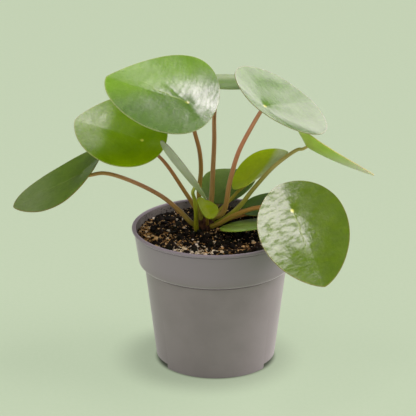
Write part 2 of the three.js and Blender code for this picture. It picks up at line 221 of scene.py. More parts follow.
# Blades whose wax is worn off on one side: how much of it is gone, and where, as for a shade.
Worn = namedtuple("Worn", "gone lie start end")
WHOLE = Worn(0, 0, 0, 1)
WORN = {
    1: Worn(0.8, -50, 6, 30),
    2: Worn(0.9, 180, -32, -22),
}

# The blades' upper skins: how rough they are, how uneven their wax, how clear their veins and how strong
# their shine.
Finish = namedtuple("Finish", "roughness unevenness veins shine")
PLAIN_FINISH = Finish(0.2, 0.5, 0.35, 0.8)
FINISHES = {
    1: Finish(0.24, 0.6, 0.7, 1),
    2: Finish(0.24, 0.3, 0.1, 0.45),
    4: Finish(0.14, 0.5, 0.3, 1.2),
    8: Finish(0.18, 0.85, 0.8, 0.8),
    13: Finish(0.5, 1, 0, 0.5),
}

# Blades whose seat shows from above as a pale dot, and how clearly.
SEAT_DOTS = {1: 0.45, 2: 0.6, 4: 0.8, 8: 1}

# The colour of the lights, and where the pot's painted shadow on the floor has its middle, in metres.
LIGHT_TONE = "#FFF3F9"
SHADOW_MIDDLE = (-0.007, -0.003, 0)


def linear(code):
    """A colour given as sRGB hex, as the linear light that a shader works in."""
    parts = (int(code[place:place + 2], 16) / 255 for place in (1, 3, 5))
    return [part / 12.92 if part <= 0.04045 else ((part + 0.055) / 1.055) ** 2.4 for part in parts] + [1]


def mixed(first, second, share):
    """A tone between two others."""
    return [a + (b - a) * share for a, b in zip(first, second)]


def smooth(low, high, value):
    """Rises from 0 at low to 1 at high."""
    share = min(max((value - low) / (high - low), 0), 1)
    return share * share * (3 - 2 * share)


# Materials


def add(tree, kind, inputs=(), result=0, **settings):
    """Adds a node and gives one of its outputs. Each input is a plain value or another node's output."""
    node = tree.nodes.new("ShaderNode" + kind)
    for name, value in settings.items():
        setattr(node, name, value)
    for name, value in dict(inputs).items():
        if isinstance(value, bpy.types.NodeSocket):
            tree.links.new(value, node.inputs[name])
        else:
            node.inputs[name].default_value = value
    return node.outputs[result] if node.outputs else None


def blank(name):
    """An empty material and its node tree."""
    material = bpy.data.materials.new(name)
    material.use_nodes = True
    material.node_tree.nodes.clear()
    return material, material.node_tree


def patchy(tree, place, size, low=0.35, high=0.65, detail=3):
    """Soft patches about so many units across, from 0 to 1."""
    pattern = add(tree, "TexNoise", {"Vector": place, "Scale": 1 / size, "Detail": detail}, "Fac")
    return add(tree, "MapRange", {"Value": pattern, "From Min": low, "From Max": high})


def flat_place(tree):
    """A point of the blade before it was bent, in millimetres from its seat."""
    flat = add(tree, "UVMap", uv_map="flat")
    middle = add(tree, "VectorMath", {0: flat, 1: (0.5, 0.5, 0)}, operation="SUBTRACT")
    return add(tree, "VectorMath", {0: middle, "Scale": FLAT_SPAN}, operation="SCALE")


def leaf_veins(tree, place):
    """The main veins of a blade, running out from its seat, from 0 to 1: the midrib is the strongest."""
    # Each vein keeps to one turn round the seat, and wavers by 0.16 radians at most on its way.
    reach = add(tree, "VectorMath", {0: place}, "Value", operation="LENGTH")
    forward = add(tree, "SeparateXYZ", {0: place}, "X")
    sideways = add(tree, "SeparateXYZ", {0: place}, "Y")
    turn = add(tree, "Math", {0: sideways, 1: forward}, operation="ARCTAN2")
    wavy_turn = add(tree, "Math", {0: patchy(tree, place, 22), 1: 0.16, 2: turn}, operation="MULTIPLY_ADD")
    turns = add(tree, "Math", {0: wavy_turn, 1: VEINS / math.tau}, operation="MULTIPLY")
    part = add(tree, "Math", {0: turns, 1: 0.5}, operation="PINGPONG")
    part_reach = add(tree, "Math", {0: part, 1: reach}, operation="MULTIPLY")
    aside = add(tree, "Math", {0: part_reach, 1: math.tau / VEINS}, operation="MULTIPLY")
    # A vein is about a millimetre wide, starts a few millimetres from the seat and fades outwards. Only the
    # midrib is strong.
    line = add(tree, "MapRange", {"Value": aside, "From Min": 0.2, "From Max": 0.9,
                                  "To Min": 1, "To Max": 0})
    fading = add(tree, "MapRange", {"Value": reach, "From Min": 8, "From Max": 40,
                                    "To Min": 1, "To Max": 0.2})
    off_midrib = add(tree, "Math", {0: turn}, operation="ABSOLUTE")
    strong = add(tree, "MapRange", {"Value": off_midrib, "From Min": 0.2, "From Max": 0.5,
                                    "To Min": 1, "To Max": 0.15})
    apart = add(tree, "MapRange", {"Value": reach, "From Min": 1.5, "From Max": 5})
    begun = add(tree, "Math", {0: line, 1: apart}, operation="MULTIPLY")
    faded = add(tree, "Math", {0: begun, 1: fading}, operation="MULTIPLY")
    grown = add(tree, "Math", {0: faded, 1: strong}, operation="MULTIPLY")
    finish = add(tree, "Attribute", result="Vector", attribute_name="finish")
    clear = add(tree, "SeparateXYZ", {0: finish}, "Z")
    return add(tree, "Math", {0: grown, 1: clear}, operation="MULTIPLY")


def leaf_skin():
    """Living leaf, its upper skin: a smooth waxy cuticle, so clean soft highlights broken along the veins."""
    material, tree = blank("waxy_leaf_upper_skin")
    place = flat_place(tree)
    vein = leaf_veins(tree, place)
    tint = add(tree, "Attribute", attribute_name="tint")
    mottled = add(tree, "Mix", {"Factor": patchy(tree, place, 14), 6: tint, 7: (0.84, 0.88, 0.74, 1)}, 2,
                  data_type="RGBA", blend_type="MULTIPLY")
    speckles = patchy(tree, place, 2.4, 0.3, 0.75)
    speckled = add(tree, "Mix", {"Factor": speckles, 6: mottled, 7: (0.86, 0.88, 0.8, 1)}, 2,
                   data_type="RGBA", blend_type="MULTIPLY")
    vein_share = add(tree, "Math", {0: vein, 1: 0.3}, operation="MULTIPLY")
    colour = add(tree, "Mix", {"Factor": vein_share, 6: speckled, 7: linear("#B7C77A")}, 2, data_type="RGBA")

    # Fine ripples that run across the midrib, 2.4 mm by 9 mm, and a fainter round-grained unevenness.
    across = add(tree, "VectorMath", {0: place, 1: (0.42, 0.11, 0)}, operation="MULTIPLY")
    ripples = add(tree, "TexNoise", {"Vector": across, "Scale": 1, "Detail": 3, "Distortion": 0.6}, "Fac")
    grains = add(tree, "TexNoise", {"Vector": place, "Scale": 0.5, "Detail": 3}, "Fac")
    sunk = add(tree, "Math", {0: vein, 1: -0.1}, operation="MULTIPLY")
    rippled = add(tree, "Math", {0: ripples, 1: 0.07, 2: sunk}, operation="MULTIPLY_ADD")
    height = add(tree, "Math", {0: grains, 1: 0.08, 2: rippled}, operation="MULTIPLY_ADD")
    bump = add(tree, "Bump", {"Height": height, "Strength": 1, "Distance": 0.001})
    # The wax lies unevenly, in streaks along the ripples, so that the skin shines more here than there.
    finish = add(tree, "Attribute", result="Vector", attribute_name="finish")
    rough = add(tree, "SeparateXYZ", {0: finish}, "X")
    uneven = add(tree, "SeparateXYZ", {0: finish}, "Y")
    roughness = add(tree, "Math", {0: patchy(tree, place, 9), 1: 0.06, 2: rough}, operation="MULTIPLY_ADD")
    streaks = add(tree, "VectorMath", {0: place, 1: (0.3, 0.1, 0)}, operation="MULTIPLY")
    bare = patchy(tree, streaks, 1, 0.47, 0.62, 5)
    patches = add(tree, "Math", {0: bare, 1: uneven}, operation="MULTIPLY")
    missing = add(tree, "Math", {0: patches, 1: vein}, operation="MAXIMUM")
    full_shine = add(tree, "Attribute", result="Alpha", attribute_name="tint")
    shine = add(tree, "MapRange", {"Value": missing, "To Min": full_shine, "To Max": 0.1})
    skin = add(tree, "BsdfPrincipled", {
        "Base Color": colour, "Roughness": roughness, "Normal": bump, "IOR": 1.47,
        "Specular IOR Level": shine, "Subsurface Weight": 0.5, "Subsurface Radius": (0.8, 1, 0.3),
        "Subsurface Scale": 1.5 * MM})
    add(tree, "OutputMaterial", {"Surface": skin})
    return material


def leaf_underside():
    """Living leaf, its underside: paler and duller, with no waxy skin and the veins standing out."""
    material, tree = blank("dull_leaf_underside")
    place = flat_place(tree)
    tint = add(tree, "Attribute", attribute_name="tint")
    pale = add(tree, "Mix", {"Factor": 0.4, 6: tint, 7: linear("#9FB073")}, 2, data_type="RGBA")
    patched = add(tree, "Mix", {"Factor": patchy(tree, place, 9), 6: pale, 7: (0.85, 0.88, 0.8, 1)}, 2,
                  data_type="RGBA", blend_type="MULTIPLY")
    vein = leaf_veins(tree, place)
    vein_share = add(tree, "Math", {0: vein, 1: 0.3}, operation="MULTIPLY")
    colour = add(tree, "Mix", {"Factor": vein_share, 6: patched, 7: linear("#C2CC94")}, 2, data_type="RGBA")
    grain = add(tree, "TexNoise", {"Vector": place, "Scale": 0.8, "Detail": 4}, "Fac")
    raised = add(tree, "Math", {0: vein, 1: 1.5, 2: grain}, operation="MULTIPLY_ADD")
    bump = add(tree, "Bump", {"Height": raised, "Strength": 0.3, "Distance": 0.0004})
    skin = add(tree, "BsdfPrincipled", {
        "Base Color": colour, "Roughness": 0.5, "Normal": bump, "IOR": 1.45, "Subsurface Weight": 0.5,
        "Subsurface Radius": (0.8, 1, 0.3), "Subsurface Scale": 1.5 * MM})
    add(tree, "OutputMaterial", {"Surface": skin})
    return material


def stalk_skin():
    """Living leaf stalk: firm smooth skin with fine lengthwise streaks and a soft shine."""
    material, tree = blank("smooth_stalk_skin")
    tint = add(tree, "Attribute", attribute_name="tint")
    grain = add(tree, "Attribute", result="Vector", attribute_name="grain")
    streaks = patchy(tree, grain, 1.2)
    colour = add(tree, "Mix", {"Factor": streaks, 6: tint, 7: (0.84, 0.8, 0.76, 1)}, 2,
                 data_type="RGBA", blend_type="MULTIPLY")
    bump = add(tree, "Bump", {"Height": streaks, "Strength": 0.4, "Distance": 0.0003})
    skin = add(tree, "BsdfPrincipled", {"Base Color": colour, "Roughness": 0.38, "Normal": bump, "IOR": 1.45})
    add(tree, "OutputMaterial", {"Surface": skin})
    return material


def stem_bark():
    """Woody stem of the plant: dry corky bark, dull and cracked, dark reddish brown."""
    material, tree = blank("corky_stem_bark")
    place = add(tree, "TexCoord", result="Object")
    cracks = patchy(tree, place, 2.2 * MM, 0.4, 0.6, 6)
    colour = add(tree, "Mix", {"Factor": cracks, 6: linear("#2E1A10"), 7: linear("#5E3A22")}, 2,
                 data_type="RGBA")
    bump = add(tree, "Bump", {"Height": cracks, "Strength": 0.8, "Distance": 0.0008})
    bark = add(tree, "BsdfPrincipled", {"Base Color": colour, "Roughness": 0.8, "Normal": bump})
    add(tree, "OutputMaterial", {"Surface": bark})
    return material


def pot_plastic():
    """Injection-moulded polypropylene: even grey, matt from a fine spark-eroded mould, faintly mottled."""
    material, tree = blank("matt_moulded_polypropylene")
    place = add(tree, "TexCoord", result="Object")
    clouds = patchy(tree, place, 18 * MM)
    colour = add(tree, "Mix", {"Factor": clouds, 6: linear("#7D7677"), 7: linear("#837C7D")}, 2,
                 data_type="RGBA")
    # The collar is painted a touch lighter and cooler than the wall under it: painted light, where more light
    # falls on it.
    up = add(tree, "SeparateXYZ", {0: place}, "Z")
    high = add(tree, "MapRange", {"Value": up, "From Min": 0.072, "From Max": 0.082})
    collar_painted_light_colour = add(tree, "Mix", {"Factor": high, 6: colour, 7: linear("#867F84")}, 2, data_type="RGBA")
    # The real grain is about 0.1 mm; it is drawn at 0.7 mm to show at all.
    grain = add(tree, "TexNoise", {"Vector": place, "Scale": 1 / (0.7 * MM), "Detail": 3}, "Fac")
    bump = add(tree, "Bump", {"Height": grain, "Strength": 0.12, "Distance": 0.0003})
    roughness = add(tree, "Math", {0: clouds, 1: 0.06, 2: 0.46}, operation="MULTIPLY_ADD")
    plastic = add(tree, "BsdfPrincipled", {
        "Base Color": collar_painted_light_colour, "Roughness": roughness, "Normal": bump, "IOR": 1.49,
        "Sheen Weight": 1, "Sheen Roughness": 0.36, "Sheen Tint": linear("#EAE0EA")})
    add(tree, "OutputMaterial", {"Surface": plastic})
    return material


def stained_and_shaded_plastic():
    """The same polypropylene inside the pot and under its steps: dulled by dried soil and water marks, and
    darkened further as painted shade inside the pot and in the recesses of the steps.
    """
    material, tree = blank("soil_stained_and_shaded_polypropylene")
    place = add(tree, "TexCoord", result="Object")
    marks = patchy(tree, place, 9 * MM)
    specks = patchy(tree, place, 1.3 * MM, 0.58, 0.66)
    clean = add(tree, "Mix", {"Factor": marks, 6: linear("#5E5A54"), 7: linear("#74706A")}, 2,
                data_type="RGBA")
    colour = add(tree, "Mix", {"Factor": specks, 6: clean, 7: linear("#2A211A")}, 2, data_type="RGBA")
    plastic = add(tree, "BsdfPrincipled", {"Base Color": colour, "Roughness": 0.75})
    add(tree, "OutputMaterial", {"Surface": plastic})
    return material


def damp_soil():
    """Damp peat: near black, crumbly and dull, with a little wet shine on the grains."""
    material, tree = blank("damp_peat")
    place = add(tree, "TexCoord", result="Object")
    fine = patchy(tree, place, 1.1 * MM, 0.4, 0.62, 5)
    colour = add(tree, "Mix", {"Factor": fine, 6: linear("#050403"), 7: linear("#1E170F")}, 2,
                 data_type="RGBA")
    bump = add(tree, "Bump", {"Height": fine, "Strength": 0.9, "Distance": 0.0008})
    peat = add(tree, "BsdfPrincipled", {"Base Color": colour, "Roughness": 0.75, "Normal": bump,
                                        "Specular IOR Level": 0.2})
    add(tree, "OutputMaterial", {"Surface": peat})
    return material


def loose_bits():
    """Bark chips, crumbs and grains lying in the soil: each has its own tone, worn and dusty."""
    material, tree = blank("dry_bark_and_grains")
    tint = add(tree, "Attribute", attribute_name="tint")
    place = add(tree, "TexCoord", result="Object")
    worn = patchy(tree, place, 0.9 * MM)
    colour = add(tree, "Mix", {"Factor": worn, 6: tint, 7: (0.78, 0.72, 0.64, 1)}, 2,
                 data_type="RGBA", blend_type="MULTIPLY")
    bits = add(tree, "BsdfPrincipled", {"Base Color": colour, "Roughness": 0.8, "Specular IOR Level": 0.2})
    add(tree, "OutputMaterial", {"Surface": bits})
    return material


def sage_floor():
    """Matt sage backdrop paper on a light table, lit from below so that it stays even, with a painted shadow
    round the pot.
    """
    material, tree = blank("sage_backdrop_paper")
    place = add(tree, "TexCoord", result="Object")
    fibres = patchy(tree, place, 3 * MM)
    colour = add(tree, "Mix", {"Factor": fibres, 6: linear("#C2D2B3"), 7: linear("#C4D3B5")}, 2,
                 data_type="RGBA")
    # Close to the pot the glow is painted darker: a painted soft shadow of the pot, a little to the left of
    # it, and painted shade near black under its foot.
    away = add(tree, "VectorMath", {0: place}, "Value", operation="LENGTH")
    shifted = add(tree, "VectorMath", {0: place, 1: SHADOW_MIDDLE}, operation="SUBTRACT")
    beside = add(tree, "VectorMath", {0: shifted}, "Value", operation="LENGTH")
    near = add(tree, "MapRange", {"Value": beside, "From Min": 0.042, "From Max": 0.075,
                                  "To Min": 0.68, "To Max": 1}, interpolation_type="SMOOTHSTEP")
    under = add(tree, "MapRange", {"Value": away, "From Min": 0.04, "From Max": 0.045,
                                   "To Min": 0.1, "To Max": 1}, interpolation_type="SMOOTHSTEP")
    share = add(tree, "Math", {0: near, 1: under}, operation="MULTIPLY")
    glow_with_painted_shadow = add(tree, "Mix", {"Factor": share, 6: (0, 0, 0, 1), 7: colour}, 2, data_type="RGBA")
    dim = add(tree, "Mix", {"Factor": 1, 6: colour, 7: (0.16, 0.16, 0.16, 1)}, 2,
              data_type="RGBA", blend_type="MULTIPLY")
    paper = add(tree, "BsdfPrincipled", {"Base Color": dim, "Roughness": 0.9, "Specular IOR Level": 0.1,
                                         "Emission Color": glow_with_painted_shadow, "Emission Strength": 0.825})
    add(tree, "OutputMaterial", {"Surface": paper})
    return material


# Making and finishing pieces


def finished(name, work, materials, slot, *nodes):
    """Makes a piece of a mesh in millimetres. It rides with the plant and stands for the named CAD nodes."""
    mesh = bpy.data.meshes.new(name)
    work.to_mesh(mesh)
    work.free()
    mesh.transform(Matrix.Scale(MM, 4))
    for material in materials:
        mesh.materials.append(material)
    mesh.polygons.foreach_set("use_smooth", [True] * len(mesh.polygons))
    mesh.set_sharp_from_angle(angle=math.radians(40))
    piece = bpy.data.objects.new(name, mesh)
    bpy.context.scene.collection.objects.link(piece)
    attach(piece, "root")
    if nodes:
        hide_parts(*nodes)
    return piece


def turned(profile, turns, angle=math.tau):
    """Spins a line of (radius, height) points round the Z axis."""
    work = bmesh.new()
    line = [work.verts.new((radius, 0, height)) for radius, height in profile]
    edges = [work.edges.new(pair) for pair in zip(line, line[1:])]
    full = angle == math.tau
    bmesh.ops.spin(work, geom=line + edges, cent=(0, 0, 0), axis=(0, 0, 1), angle=angle, steps=turns,
                   use_merge=full)
    bmesh.ops.remove_doubles(work, verts=work.verts, dist=1e-4)
    bmesh.ops.recalc_face_normals(work, faces=work.faces)
    return work


def bend(distance, length, start, turn):
    """How far out and up a line gets that bends evenly by turn over its length."""
    if abs(turn) < 0.001:
        return distance * math.cos(start), distance * math.sin(start)
    radius = length / turn
    angle = start + turn * distance / length
    return radius * (math.sin(angle) - math.sin(start)), radius * (math.cos(start) - math.cos(angle))


def half_width(leaf, along, on_left):
    """The blade's half width at a place between its base, which is 0, and its tip, which is 1."""
    base, tip = (leaf.pointed[0], leaf.pointed[2]) if on_left else (leaf.pointed[1], leaf.pointed[3])
    widest = base / (base + tip)
    along = min(max(along, 0), 1)
    return leaf.width / 2 * along ** base * (1 - along) ** tip / (widest ** base * (1 - widest) ** tip)


def bent(leaf, u, v, up):
    """Where a point of the flat blade lies on the bent one, with the leaf's own axes."""
    lift = math.radians(leaf.left if v > 0 else leaf.right)
    out, rise = bend(abs(v), leaf.width / 2, math.radians(MIDRIB_FOLD), lift)
    rise += up
    span = leaf.length * (1 - SEAT)
    curl = math.radians(-leaf.curl) if u > 0 else 0
    along, drop = bend(abs(u), span, 0, curl)
    lean = curl * u / span
    x = math.copysign(along, u) - rise * math.sin(lean)
    y = math.copysign(out, v)
    away = math.hypot(x, y)
    funnel = math.tan(math.radians(leaf.dish)) * (math.hypot(away, DISH_ROUNDING) - DISH_ROUNDING)
    dimple = DIMPLE_DEPTH * math.exp(-((away / DIMPLE_RADIUS) ** 2))
    z = drop + rise * math.cos(lean) + funnel - dimple
    twist = math.radians(leaf.twist) * u / leaf.length
    return Vector((x, y * math.cos(twist) - z * math.sin(twist), y * math.sin(twist) + z * math.cos(twist)))


def leaf_place(leaf):
    """Where a blade sits and which way it faces."""
    turn = Matrix.Rotation(math.radians(leaf.towards), 4, "Z")
    turn = turn @ Matrix.Rotation(math.radians(leaf.slope), 4, "Y")
    turn = turn @ Matrix.Rotation(math.radians(leaf.roll), 4, "X")
    return Matrix.Translation(leaf.seat) @ turn


def crossed(change, u, v):
    """How far a point of the flat blade has come through a change from one side to the other, from 0 to 1."""
    lie = math.radians(change.lie)
    return smooth(change.start, change.end, u * math.cos(lie) + v * math.sin(lie))


def relief(leaf, bulges, u, v):
    """How far a point of a living blade lies over the plain bent shape: quilting and slow waves, which fade
    towards the seat, and bulges."""
    away = math.hypot(u, v)
    height = QUILT_RISE * math.cos(VEINS * math.atan2(v, u) + math.pi) * smooth(4, 22, away)
    # Every leaf has waves of its own, because its size is the third coordinate of their noise.
    wave = noise.noise(Vector((u / WAVE_SIZE, v / WAVE_SIZE, leaf.length + leaf.width * 0.37)))
    height += WAVE_RISE * wave * smooth(5, 20, away)
    for bulge in bulges:
        turn = math.radians(bulge.turn)
        along = (u - bulge.forward) * math.cos(turn) + (v - bulge.left) * math.sin(turn)
        across = (v - bulge.left) * math.cos(turn) - (u - bulge.forward) * math.sin(turn)
        height += bulge.height * math.exp(-((along / bulge.long) ** 2) - (across / bulge.wide) ** 2)
    return height


def leaf_blade(number, leaf, materials):
    """A flat disc of rings and spokes, given its thickness, then bent into the living blade."""
    bulges = BULGES.get(number, ())
    finish = FINISHES.get(number, PLAIN_FINISH)
    worn = WORN.get(number, WHOLE)
    upper = (leaf.skin, SHADES.get(number, Shade(leaf.skin, 0, 0, 1)))
    under = UNDERSIDES.get(number, upper)
    work = turned([(0, 0)] + [(share, 0) for share in RINGS], SPOKES)
    skin = work.faces[:]
    if skin[0].normal.z < 0:
        bmesh.ops.reverse_faces(work, faces=skin)
    bmesh.ops.solidify(work, geom=skin, thickness=1)
    heights = [vert.co.z for vert in work.verts]
    middle = (min(heights) + max(heights)) / 2
    tint = work.verts.layers.float_color.new("tint")
    skin_finish = work.verts.layers.float_vector.new("finish")
    flat = work.loops.layers.uv.new("flat")
    for face in work.faces:
        face.material_index = 1 if all(vert.co.z < middle for vert in face.verts) else 0
    place = leaf_place(leaf)
    flats = {}
    margin = linear(leaf.edge)
    for vert in work.verts:
        ring = min(math.hypot(vert.co.x, vert.co.y), 1)
        turn = math.atan2(vert.co.y, vert.co.x)
        along = (1 + math.cos(turn)) / 2
        edge_v = math.copysign(half_width(leaf, along, turn > 0), math.sin(turn))
        u, v = ring * (leaf.length * (along - SEAT)), ring * edge_v
        flats[vert] = (0.5 + u / FLAT_SPAN, 0.5 + v / FLAT_SPAN)
        underneath = vert.co.z < middle
        near_tone, shade = under if underneath else upper
        # A shade's far tone is painted light, and on some blades a painted sheen.
        body = mixed(linear(near_tone), linear(shade.tone), crossed(shade, u, v))
        tone = mixed(body, margin, MARGIN_SHARE * smooth(0.98, 1, ring))
        tone = mixed(tone, linear(SEAT_TONE), SEAT_DOTS.get(number, 0) * (1 - smooth(0.01, 0.05, ring)))
        vert[tint] = tone[:3] + [finish.shine * (1 - worn.gone * crossed(worn, u, v))]
        vert[skin_finish] = finish[:3]
        up = relief(leaf, bulges, u, v)
        spot = bent(leaf, u, v, up)
        if underneath:
            across = bent(leaf, u, v + SLOPE_REACH, up) - bent(leaf, u, v - SLOPE_REACH, up)
            onward = bent(leaf, u + SLOPE_REACH, v, up) - bent(leaf, u - SLOPE_REACH, v, up)
            thick = BLADE_THICKNESS + (MARGIN_THICKNESS - BLADE_THICKNESS) * ring * ring
            spot -= onward.cross(across).normalized() * thick
        vert.co = place @ spot
    for face in work.faces:
        for loop in face.loops:
            loop[flat].uv = flats[loop.vert]
    return finished(f"blade_{number:02d}", work, materials, "blade", f"leaf_blade_{number:02d}")


def route_point(points, share):
    """A point of the smooth curve that runs through all the points."""
    place = share * (len(points) - 1)
    first = min(int(place), len(points) - 2)
    part = place - first
    start, end = points[first], points[first + 1]
    before = points[first - 1] if first else 2 * start - end
    after = points[first + 2] if first + 2 < len(points) else 2 * end - start
    gap_in, gap, gap_out = ((b - a).length ** 0.5 for a, b in ((before, start), (start, end), (end, after)))
    leaving = ((start - before) / gap_in - (end - before) / (gap_in + gap) + (end - start) / gap) * gap
    arriving = ((end - start) / gap - (after - start) / (gap + gap_out) + (after - end) / gap_out) * gap
    square = 3 * (end - start) - 2 * leaving - arriving
    cube = 2 * (start - end) + leaving + arriving
    return start + leaving * part + square * part ** 2 + cube * part ** 3


def swept(frames, sides, tones, reach):
    """Pulls a circle of radius 1 through a row of frames, each a place, a direction and a size. The tones
    change along its reach, which is its length in millimetres."""
    work = bmesh.new()
    tint = work.verts.layers.float_color.new("tint")
    grain = work.verts.layers.float_vector.new("grain")
    ring = bmesh.ops.create_circle(work, cap_ends=True, radius=1, segments=sides)["verts"]
    cap = work.faces[:]
    for position, frame_now in enumerate(frames):
        if position:
            # The circle at the foot stays as its cap. Each later one is left out once the tube has passed it.
            grown = bmesh.ops.extrude_face_region(work, geom=cap + list(cap[0].edges),
                                                  use_keep_orig=position == 1)["geom"]
            cap = [item for item in grown if isinstance(item, bmesh.types.BMFace)]
            ring = [item for item in grown if isinstance(item, bmesh.types.BMVert)]
            bmesh.ops.transform(work, matrix=frames[position - 1].inverted(), verts=ring)
        share = position / (len(frames) - 1)
        for vert in ring:
            vert[tint] = tone_along(tones, share)
            vert[grain] = Vector((vert.co.x * STREAKS_ROUND, vert.co.y * STREAKS_ROUND,
                                  share * reach / STREAK_LENGTH))
        bmesh.ops.transform(work, matrix=frame_now, verts=ring)
    bmesh.ops.recalc_face_normals(work, faces=work.faces)
    return work


def tone_along(tones, share):
    """The tone at some share of a row of tones."""
    place = share * (len(tones) - 1)
    first = min(int(place), len(tones) - 2)
    return mixed(tones[first], tones[first + 1], place - first)


def leaf_stalk(number, leaf, materials):
    """A round stalk along its route, tapering fast from its foot and swollen a little under its blade."""
    up = (leaf_place(leaf).to_3x3() @ Vector((0, 0, 1))).normalized()
    rise = relief(leaf, BULGES.get(number, ()), 0, 0)
    seat = Vector(leaf.seat) + up * (rise - DIMPLE_DEPTH - BLADE_THICKNESS + STALK_SINK)
    route = [Vector(point) for point in leaf.route]
    heading = ((seat - route[-1]).normalized() * 2 + up).normalized()
    route += [seat - heading * STALK_BEND, seat]
    length = sum((b - a).length for a, b in zip(route, route[1:]))
    steps = max(6, round(length / STALK_STEP))
    frames = []
    for step in range(steps + 1):
        share = step / steps
        point = route_point(route, share)
        ahead = route_point(route, min(share + 0.01, 1)) - route_point(route, max(share - 0.01, 0))
        ahead = up if step == steps else ahead.normalized()
        turn = last.rotation_difference(ahead) @ turn if step else ahead.to_track_quat("Z", "Y")
        last = ahead
        radius = (leaf.thick[0] + (leaf.thick[1] - leaf.thick[0]) * share ** STALK_TAPER) / 2
        radius *= 1 + STALK_SWELLING * smooth(0.94, 1, share)
        frames.append(Matrix.LocRotScale(point, turn, Vector((radius, radius, radius))))
    tones = [linear(code) for code in leaf.bark]
    work = swept(frames, STALK_SIDES, tones, length)
    return finished(f"stalk_{number:02d}", work, materials, "stalk", f"petiole_{number:02d}")


def ledge(inward, upward):
    """The quarter-round ledge between body and collar, moved in and up."""
    turns = [step / LEDGE_STEPS * math.pi / 2 for step in range(LEDGE_STEPS + 1)]
    return [(SHOULDER_RADIUS + LEDGE_WIDTH * math.sin(turn) - inward,
             SHOULDER_HEIGHT + LEDGE_HEIGHT * (1 - math.cos(turn)) + upward) for turn in turns]


def sector(inner, outer, low, high, half_angle, middle):
    """A block between two radii and two heights, over some degrees round the pot."""
    work = turned([(inner, low), (outer, low), (outer, high), (inner, high), (inner, low)], SECTOR_STEPS,
                  math.radians(2 * half_angle))
    bmesh.ops.holes_fill(work, edges=work.edges, sides=0)
    bmesh.ops.recalc_face_normals(work, faces=work.faces)
    start = Matrix.Rotation(math.radians(middle - half_angle), 4, "Z")
    bmesh.ops.transform(work, matrix=start, verts=work.verts)
    return work


def carved(work, *tools):
    """Joins other shapes to a shape, or cuts them out of it. Each tool is UNION or DIFFERENCE and a shape."""
    helpers = []
    for name, shape in [("blank", work)] + [("tool", shape) for _, shape in tools]:
        mesh = bpy.data.meshes.new(name)
        shape.to_mesh(mesh)
        shape.free()
        helpers.append(bpy.data.objects.new(name, mesh))
        bpy.context.scene.collection.objects.link(helpers[-1])
    for (how, _), helper in zip(tools, helpers[1:]):
        modifier = helpers[0].modifiers.new(how, "BOOLEAN")
        modifier.operation = how
        modifier.object = helper
        modifier.solver = "EXACT"
    result = bmesh.new()
    result.from_object(helpers[0], bpy.context.evaluated_depsgraph_get())
    for helper in helpers:
        mesh = helper.data
        bpy.data.objects.remove(helper)
        bpy.data.meshes.remove(mesh)
    return result


def flower_pot(materials):
    """The pot turned in one go, then cut for its two drain steps and four holes."""
    lip_foot = POT_HEIGHT - LIP_HEIGHT
    inside_top = COLLAR_TOP_RADIUS - POT_WALL
    # The outside from the foot up. The small steps are the grooves under the ledge and under the lip.
    body = [(0, 0), (FOOT_RADIUS - FOOT_CHAMFER, 0), (FOOT_RADIUS - 0.25, 0.25), (FOOT_RADIUS, FOOT_CHAMFER)]
    body += [(SHOULDER_RADIUS - 0.1, SHOULDER_HEIGHT - 1.1), (SHOULDER_RADIUS - 0.75, SHOULDER_HEIGHT - 0.7)]
    body += [(SHOULDER_RADIUS - 0.75, SHOULDER_HEIGHT + 0.1), (SHOULDER_RADIUS + 0.3, SHOULDER_HEIGHT + 0.1)]
    body += ledge(0, 0)[2:]
    body += [(COLLAR_TOP_RADIUS - 0.1, lip_foot - 1), (COLLAR_TOP_RADIUS - 0.45, lip_foot - 0.6)]
    body += [(COLLAR_TOP_RADIUS - 0.45, lip_foot + 0.1), (LIP_RADIUS - 0.5, lip_foot + 0.15)]
    # The rolled lip, and then the inside down to the floor.
    body += [(LIP_RADIUS - 0.1, lip_foot + 0.5), (LIP_RADIUS, lip_foot + 1)]
    body += [(LIP_RADIUS - 0.15, POT_HEIGHT - 0.6), (LIP_RADIUS - 0.6, POT_HEIGHT - 0.15)]
    body += [(COLLAR_TOP_RADIUS + 0.3, POT_HEIGHT)]
    body += [(inside_top + 0.4, POT_HEIGHT - 0.2), (inside_top, POT_HEIGHT - 1)]
    body += reversed(ledge(POT_WALL, 0.5))
    body += [(FOOT_RADIUS - POT_WALL, POT_FLOOR), (0, POT_FLOOR)]
    cuts = []
    for middle in (0, 180):
        roof = sector(STEP_INNER_RADIUS - POT_WALL, FOOT_RADIUS - 0.4, 0.2, STEP_RISE + POT_FLOOR,
                      STEP_HALF_ANGLE + 1.8, middle)
        cuts.append(("UNION", roof))
    for middle in (0, 180):
        notch = sector(STEP_INNER_RADIUS, LIP_RADIUS, -5, STEP_RISE, STEP_HALF_ANGLE, middle)
        cuts.append(("DIFFERENCE", notch))
        for side in (-DRAIN_HALF_ANGLE, DRAIN_HALF_ANGLE):
            hole = bmesh.new()
            turn = math.radians(middle + side)
            spot = Vector((math.cos(turn), math.sin(turn), 0)) * DRAIN_CENTRE_RADIUS
            spot += Vector((0, 0, STEP_RISE))
            bmesh.ops.create_cone(hole, cap_ends=True, segments=DRAIN_SIDES, radius1=DRAIN_RADIUS,
                                  radius2=DRAIN_RADIUS, depth=6, matrix=Matrix.Translation(spot))
            cuts.append(("DIFFERENCE", hole))
    work = carved(turned(body, POT_TURNS), *cuts)
    # The darker plastic goes on what faces inwards above the floor, as soil stains and painted shade,
    # and on the steps from below, as painted shade in their recesses.
    for face in work.faces:
        middle = face.calc_center_median()
        away = math.hypot(middle.x, middle.y)
        inward = face.normal.x * middle.x + face.normal.y * middle.y < -0.3 * away
        in_step = middle.z < STEP_RISE + 0.1 and STEP_INNER_RADIUS - 0.1 < away < FOOT_RADIUS - 1
        face.material_index = 1 if in_step or (inward and POT_FLOOR < middle.z < POT_HEIGHT - 1) else 0
    return finished("nursery_pot", work, materials, "pot", "pot")


